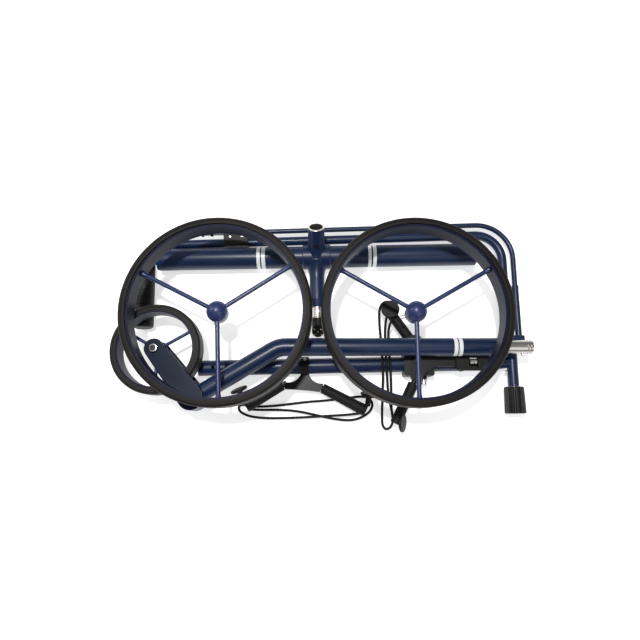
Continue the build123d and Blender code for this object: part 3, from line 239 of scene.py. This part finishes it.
BAND_WHITE = (0.86, 0.87, 0.88)
BARE_STEEL = (0.62, 0.62, 0.62)
AXLE_TURN = radians(1.04)
AXLE_BANDS = ((-0.1194, -0.1129), (-0.1105, -0.1035), (0.0879, 0.0938), (0.0966, 0.1033))
ARM_BANDS = ((0.2281, 0.2347), (0.2367, 0.2433))
BARE_BOW = ((-0.400, -0.186),)
SMOOTH_PAINT = {"scale": 2600.0, "bump": 0.04, "distance": 0.0001}
TREAD = {"scale": 700.0, "bump": 0.25, "distance": 0.0003}
METAL = {"scale": 500.0, "metallic": 1.0}


def navy(name):
    finish = Finish(
        name, (0.0022, 0.0135, 0.0500), (0.0032, 0.0170, 0.0620), 0.40, gloss=0.35, **SMOOTH_PAINT,
    )
    finish.coat(0.15, 0.22)
    return finish


frame_paint = navy("navy_frame_paint")
axle_paint = navy("navy_axle_paint")
axle_paint.add_bands(AXLE_TURN, AXLE_BANDS, BAND_WHITE)
blade_paint = Finish(
    "navy_blade_paint", (0.0018, 0.0075, 0.0250), (0.0026, 0.0095, 0.0310), 0.34,
    gloss=0.16, **SMOOTH_PAINT,
)
arm_paint = navy("navy_arm_paint")
arm_paint.add_bands(0.0, ARM_BANDS, BAND_WHITE)
bow_paint = navy("navy_bow_paint")
bow_paint.add_bands(0.0, BARE_BOW, BARE_STEEL, bare=True)
wheel_paint = Finish(
    "blue_wheel_paint", (0.013, 0.024, 0.100), (0.017, 0.029, 0.118), 0.38, **SMOOTH_PAINT,
)
wheel_paint.coat(0.2, 0.25)
# the rims get a darker, less glossy copy of the wheel paint; its extra darkness is painted shade for
# the shaded inner walls of the rims
painted_shade_on_rims = Finish(
    "rims_with_painted_shade", (0.0040, 0.0062, 0.0250), (0.0055, 0.0082, 0.0310), 0.46,
    gloss=0.16, **SMOOTH_PAINT,
)
tyre_rubber = Finish(
    "tyre_rubber", (0.0105, 0.0090, 0.0076), (0.0150, 0.0128, 0.0108), 0.52, gloss=0.16, **TREAD,
)
front_rubber = Finish(
    "front_tyre_rubber", (0.0120, 0.0108, 0.0096), (0.0170, 0.0153, 0.0138), 0.52,
    gloss=0.2, **TREAD,
)
black_plastic = Finish(
    "black_moulding", (0.0040, 0.0038, 0.0037), (0.0060, 0.0057, 0.0055), 0.44,
    scale=1300.0, bump=0.12, gloss=0.3,
)
black_rubber = Finish(
    "black_rubber", (0.0052, 0.0048, 0.0045), (0.0076, 0.0070, 0.0065), 0.55,
    scale=1100.0, bump=0.2, gloss=0.28,
)
sleeve_foam = Finish(
    "sleeve_foam", (0.0050, 0.0046, 0.0042), (0.0082, 0.0076, 0.0070), 0.62,
    scale=420.0, bump=0.5, distance=0.0006, gloss=0.25,
)
dark_steel = Finish(
    "blackened_steel", (0.045, 0.043, 0.040), (0.065, 0.062, 0.058), 0.32, bump=0.04, **METAL,
)
knob_plastic = Finish(
    "knob_moulding", (0.0042, 0.0042, 0.0046), (0.0062, 0.0062, 0.0068), 0.40,
    scale=1300.0, bump=0.1, gloss=0.35,
)
steel = Finish("brushed_steel", (0.50, 0.48, 0.45), (0.60, 0.57, 0.54), 0.3, bump=0.04, **METAL)
bright = Finish("bright_metal", (0.72, 0.71, 0.69), (0.80, 0.79, 0.77), 0.2, bump=0.02, **METAL)
alloy = Finish("turned_alloy", (0.42, 0.42, 0.42), (0.50, 0.50, 0.50), 0.4, bump=0.05, **METAL)
contact_gold = Finish(
    "contact_metal", (0.80, 0.72, 0.50), (0.86, 0.79, 0.58), 0.22, bump=0.02, **METAL,
)
cord_cover = Finish(
    "woven_cord_cover", (0.004, 0.004, 0.004), (0.007, 0.007, 0.007), 0.6,
    scale=2200.0, bump=0.3, gloss=0.25,
)

dressing = {
    frame_paint: (
        "handle_tube", "bow_sleeve", "hinge_yoke", "spine_tube", "spine_knuckle",
        "fork_knuckle", "bow_end_block", "axle_tee",
    ),
    blade_paint: ("fork_upper_blade", "fork_lower_blade"),
    axle_paint: ("axle_tube",),
    arm_paint: ("arm_tube",),
    bow_paint: ("bow_tube",),
    wheel_paint: ("front_spokes", "left_spokes", "left_hub", "right_spokes", "right_hub"),
    painted_shade_on_rims: ("front_rim", "left_rim", "right_rim"),
    tyre_rubber: ("left_tyre", "right_tyre"),
    front_rubber: ("front_tyre",),
    black_plastic: (
        "tube_holder", "lower_cradle_frame", "upper_cradle_frame", "upper_clamp_jaw", "pivot_block",
        "plug_body", "speed_dial", "spine_contact_socket", "axle_bearings", "socket_button",
    ),
    knob_plastic: ("clamp_knob",),
    black_rubber: ("grip_rubber", "lower_cradle_caps", "upper_cradle_caps"),
    sleeve_foam: ("lower_cradle_sleeves", "upper_cradle_sleeves"),
    dark_steel: ("front_axle_bolt",),
    cord_cover: ("lower_bungee", "upper_bungee"),
    steel: (
        "hinge_shaft", "clamp_bolt", "thumb_nut", "socket_liner", "leg_neck", "left_drive_shaft",
        "right_drive_shaft", "arm_spigot", "gear_motors",
    ),
    bright: ("lock_pin", "lower_cradle_screw", "spigot_button", "left_release", "right_release"),
    alloy: ("left_hub_core", "right_hub_core"),
    contact_gold: ("contact_pins",),
}
for finish, names in dressing.items():
    for name in names:
        mesh = nodes[name].data
        mesh.materials.clear()
        mesh.materials.append(finish.material)
        for face in mesh.polygons:
            face.material_index = 0


# ---------------------------------------------------------------- rubber cords
CORD_R = 0.0023


def rubber_cord(name, route, node, body):
    """A round cord along a route of control points, riding on a body."""
    curve = bpy.data.curves.new(name, "CURVE")
    curve.dimensions = "3D"
    curve.bevel_depth = CORD_R
    curve.bevel_resolution = 5
    curve.resolution_u = 10
    curve.use_fill_caps = True
    spline = curve.splines.new("NURBS")
    spline.points.add(len(route) - 1)
    for point, place in zip(spline.points, route):
        point.co = (*place, 1.0)
    spline.order_u = 3
    spline.use_endpoint_u = True
    cord = bpy.data.objects.new(name, curve)
    scene.collection.objects.link(cord)
    curve.materials.append(cord_cover.material)
    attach(cord, body)
    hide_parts(node)


LOWER_CORD = [
    (-0.1270, -0.1560, 0.0095),
    (-0.1120, -0.1570, 0.0070),
    (-0.0850, -0.1565, 0.0065),
    (-0.0500, -0.1580, 0.0070),
    (-0.0150, -0.1650, 0.0070),
    (0.0180, -0.1725, 0.0070),
    (0.0460, -0.1758, 0.0070),
    (0.0640, -0.1730, 0.0080),
    (0.0770, -0.1668, 0.0095),
    (0.0875, -0.1580, 0.0120),
    (0.0910, -0.1460, 0.0150),
    (0.0850, -0.1360, 0.0130),
    (0.0730, -0.1325, 0.0080),
    (0.0500, -0.1345, 0.0053),
    (0.0140, -0.1395, 0.0052),
    (-0.0300, -0.1425, 0.0052),
    (-0.0750, -0.1485, 0.0052),
    (-0.1080, -0.1510, 0.0052),
    (-0.1280, -0.1505, 0.0052),
    (-0.1415, -0.1470, 0.0075),
    (-0.1495, -0.1490, 0.0110),
    (-0.1505, -0.1560, 0.0135),
    (-0.1440, -0.1625, 0.0130),
    (-0.1300, -0.1685, 0.0110),
    (-0.1060, -0.1715, 0.0095),
    (-0.0680, -0.1715, 0.0095),
    (-0.0200, -0.1695, 0.0125),
    (0.0200, -0.1670, 0.0125),
    (0.0480, -0.1655, 0.0125),
    (0.0680, -0.1630, 0.0130),
]
UPPER_CORD = [
    (0.1180, 0.0120, 0.0310),
    (0.1135, -0.0080, 0.0320),
    (0.1132, -0.0440, 0.0368),
    (0.1148, -0.0860, 0.0366),
    (0.1170, -0.1280, 0.0250),
    (0.1240, -0.1580, 0.0165),
    (0.1270, -0.1740, 0.0135),
    (0.1230, -0.1870, 0.0130),
    (0.1135, -0.1920, 0.0130),
    (0.1070, -0.1840, 0.0130),
    (0.1068, -0.1680, 0.0145),
    (0.1076, -0.1360, 0.0205),
    (0.1086, -0.0900, 0.0353),
    (0.1060, -0.0420, 0.0368),
    (0.1026, 0.0020, 0.0375),
    (0.1040, 0.0260, 0.0405),
    (0.1120, 0.0355, 0.0420),
    (0.1240, 0.0355, 0.0428),
    (0.1335, 0.0270, 0.0428),
    (0.1340, 0.0140, 0.0428),
    (0.1260, 0.0035, 0.0426),
    (0.1185, -0.0140, 0.0405),
    (0.1190, -0.0460, 0.0368),
    (0.1215, -0.0860, 0.0368),
    (0.1226, -0.1280, 0.0285),
    (0.1226, -0.1560, 0.0235),
    (0.1250, -0.1730, 0.0225),
]
rubber_cord("lower_cord", LOWER_CORD, "lower_bungee", "lower_cradle")
rubber_cord("upper_cord", UPPER_CORD, "upper_bungee", "upper_cradle")


# ---------------------------------------------------------------- small fittings
def pick(kind, test):
    """In edit mode, select only the faces or edges that pass the test."""
    bpy.ops.mesh.select_mode(type=kind)
    bpy.ops.mesh.select_all(action="DESELECT")
    mesh = bmesh.from_edit_mesh(bpy.context.object.data)
    for item in mesh.faces if kind == "FACE" else mesh.edges:
        item.select_set(test(item))
    bmesh.update_edit_mesh(bpy.context.object.data)


def start_turned(name, radius, length, sides):
    """An upright bar with its middle at the origin, in edit mode."""
    deselect()
    bpy.ops.mesh.primitive_cylinder_add(
        vertices=sides, radius=radius, depth=length, location=(0.0, 0.0, 0.0),
    )
    bpy.context.object.name = name
    bpy.ops.object.mode_set(mode="EDIT")


def round_rims(radius, length, rounding, levels=(-1, 1)):
    """Round the outer rims at the bar's two ends, or at one of them."""

    def on_rim(edge):
        first, second = (vertex.co for vertex in edge.verts)
        far = min(first.xy.length, second.xy.length) > radius - 1e-5
        level = first.z if abs(first.z - second.z) < 1e-6 else 0.0
        return far and any(abs(level - side * length / 2) < 1e-6 for side in levels)

    pick("EDGE", on_rim)
    bpy.ops.mesh.bevel(offset=rounding, segments=3, affect="EDGES")


def finish_piece(place, direction, finish, body):
    """Leave edit mode, put the piece in its place and give it its finish and body."""
    bpy.ops.mesh.select_all(action="SELECT")
    bpy.ops.mesh.normals_make_consistent(inside=False)
    bpy.ops.object.mode_set(mode="OBJECT")
    piece = bpy.context.object
    piece.rotation_euler = Vector(direction).to_track_quat("Z", "Y").to_euler()
    piece.location = place
    bpy.ops.object.transform_apply(location=True, rotation=True, scale=True)
    bpy.ops.object.shade_smooth_by_angle(angle=radians(35.0))
    piece.data.materials.append(finish.material)
    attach(piece, body)


def collar(name, place, direction, outer, bore, length, rounding, finish, body):
    """A ring round a tube, with rounded rims."""
    start_turned(name, outer, length, 48)
    pick("FACE", lambda face: abs(face.normal.z) > 0.9)
    bpy.ops.mesh.inset(thickness=outer - bore, use_individual=True)
    bpy.ops.mesh.bridge_edge_loops()
    round_rims(outer, length, rounding)
    finish_piece(place, direction, finish, body)


def socket_screw(name, place, direction, radius, height, finish, body):
    """A cap screw's head with a round recess."""
    start_turned(name, radius, height, 36)
    pick("FACE", lambda face: face.normal.z > 0.9)
    bpy.ops.mesh.inset(thickness=radius * 0.45)
    bpy.ops.mesh.extrude_region_move(TRANSFORM_OT_translate={"value": (0.0, 0.0, -height * 0.6)})
    round_rims(radius, height, radius * 0.12, levels=(1,))
    finish_piece(place, direction, finish, body)


def end_ball(name, place, direction, radius, length, finish, body):
    """A short moulded knob with a domed end."""
    start_turned(name, radius, length, 32)
    round_rims(radius, length, radius * 0.55, levels=(1,))
    round_rims(radius, length, radius * 0.25, levels=(-1,))
    finish_piece(place, direction, finish, body)


UP = (0.0, 0.0, 1.0)
HANDLE_SLOPE = radians(1.85)
HANDLE_ALONG = Vector((cos(HANDLE_SLOPE), sin(HANDLE_SLOPE), 0.0))
BOW_END = Vector((-0.265, 0.1736, 0.0185))
CLIP_X = (-0.2275, -0.2100)
SCREW_INSET = 0.0125
SCREW_SINK = 0.0011


def on_bow(x):
    """The middle of the bow tube at this x."""
    return BOW_END + HANDLE_ALONG * ((x - BOW_END.x) / HANDLE_ALONG.x)


for number, x in enumerate(CLIP_X, start=1):
    collar(
        f"bow_clip_{number}", on_bow(x), HANDLE_ALONG,
        outer=0.0062, bore=0.00478, length=0.0052, rounding=0.0008,
        finish=black_plastic, body="handle",
    )
end_ball(
    "bow_end_knob", BOW_END - HANDLE_ALONG * 0.0100, -HANDLE_ALONG, radius=0.0066, length=0.0060,
    finish=knob_plastic, body="handle",
)

holder_low, holder_high = (Vector(corner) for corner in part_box("tube_holder"))
holder_middle_y = (holder_low.y + holder_high.y) / 2
for number, x in enumerate((holder_low.x + SCREW_INSET, holder_high.x - SCREW_INSET), start=1):
    socket_screw(
        f"holder_screw_{number}", (x, holder_middle_y, holder_high.z - SCREW_SINK), UP,
        radius=0.0024, height=0.0016, finish=steel, body="handle",
    )

bolt_low, bolt_high = (Vector(corner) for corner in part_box("front_axle_bolt"))
bolt_middle = (bolt_low + bolt_high) / 2
collar(
    "front_bolt_ring", (bolt_middle.x, bolt_middle.y, bolt_high.z), UP,
    outer=0.0070, bore=0.0050, length=0.0010, rounding=0.0003,
    finish=bright, body="arm",
)


# ---------------------------------------------------------------- floor
FLOOR_SIZE = 60.0
FLOOR_WHITE = (0.95, 0.95, 0.95, 1.0)
FLOOR_ROUGHNESS = 0.9
FLOOR_GLOW = 0.60

deselect()
bpy.ops.mesh.primitive_plane_add(size=FLOOR_SIZE, location=(0.0, 0.0, 0.0))
floor = bpy.context.object
floor.name = "studio_floor"
floor_paint = bpy.data.materials.new("studio_floor_paint")
floor_paint.use_nodes = True
floor_shader = floor_paint.node_tree.nodes["Principled BSDF"]
floor_shader.inputs["Base Color"].default_value = FLOOR_WHITE
floor_shader.inputs["Roughness"].default_value = FLOOR_ROUGHNESS
floor_shader.inputs["Emission Color"].default_value = WHITE
floor_shader.inputs["Emission Strength"].default_value = FLOOR_GLOW
floor.data.materials.append(floor_paint)
